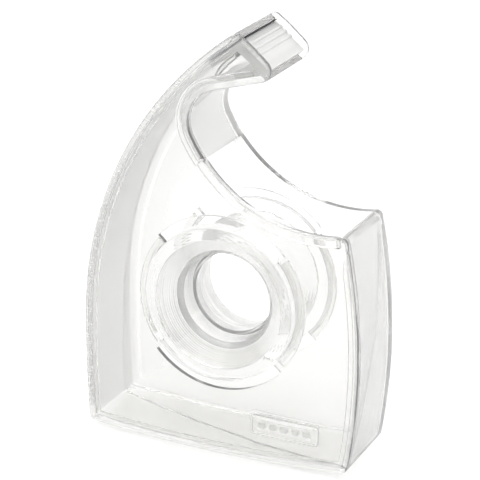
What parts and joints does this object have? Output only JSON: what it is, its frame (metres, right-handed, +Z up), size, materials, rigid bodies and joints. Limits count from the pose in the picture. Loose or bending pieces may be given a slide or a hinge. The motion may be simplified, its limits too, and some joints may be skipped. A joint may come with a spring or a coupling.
{
  "type": "tape dispenser",
  "caption": "Clear hand dispenser for a small roll of adhesive tape, with a hooked head, steel cutter, side cover and quarter-turn hub.",
  "frame": {"origin": "middle of the hub's axis, halfway between the two side walls", "axes": "+X along the length towards the beak, +Y through the thickness away from the side cover, +Z up"},
  "size_m": [0.0726, 0.0268, 0.1069],
  "materials": {
    "clear_body": "clear moulded polystyrene, polished",
    "clear_cover": "clear moulded polystyrene, polished",
    "clear_hub": "clear moulded polystyrene with fine turning marks",
    "clear_landing": "clear moulded polystyrene, softly frosted on the ridged face",
    "blade_steel": "ground sheet steel"
  },
  "bodies": {
    "shell": {"body_shell": "clear_body", "cutter_blade": "blade_steel", "tape_landing": "clear_landing"},
    "cover": {"side_cover": "clear_cover"},
    "near_hub": {"hub_near": "clear_hub"},
    "far_hub": {"hub_far": "clear_hub"}
  },
  "joints": [
    {"name": "cover_pull", "type": "slide", "parent": "shell", "child": "cover", "axis": [0, -1, 0], "range_m": [0, 0.03]},
    {"name": "near_hub_turn", "type": "hinge", "parent": "cover", "child": "near_hub", "pos_m": [0, 0, 0], "axis": [0, 1, 0], "range_deg": [0, 90]},
    {"name": "far_hub_turn", "type": "hinge", "parent": "shell", "child": "far_hub", "pos_m": [0, 0, 0], "axis": [0, 1, 0], "range_deg": [0, 90]}
  ]
}
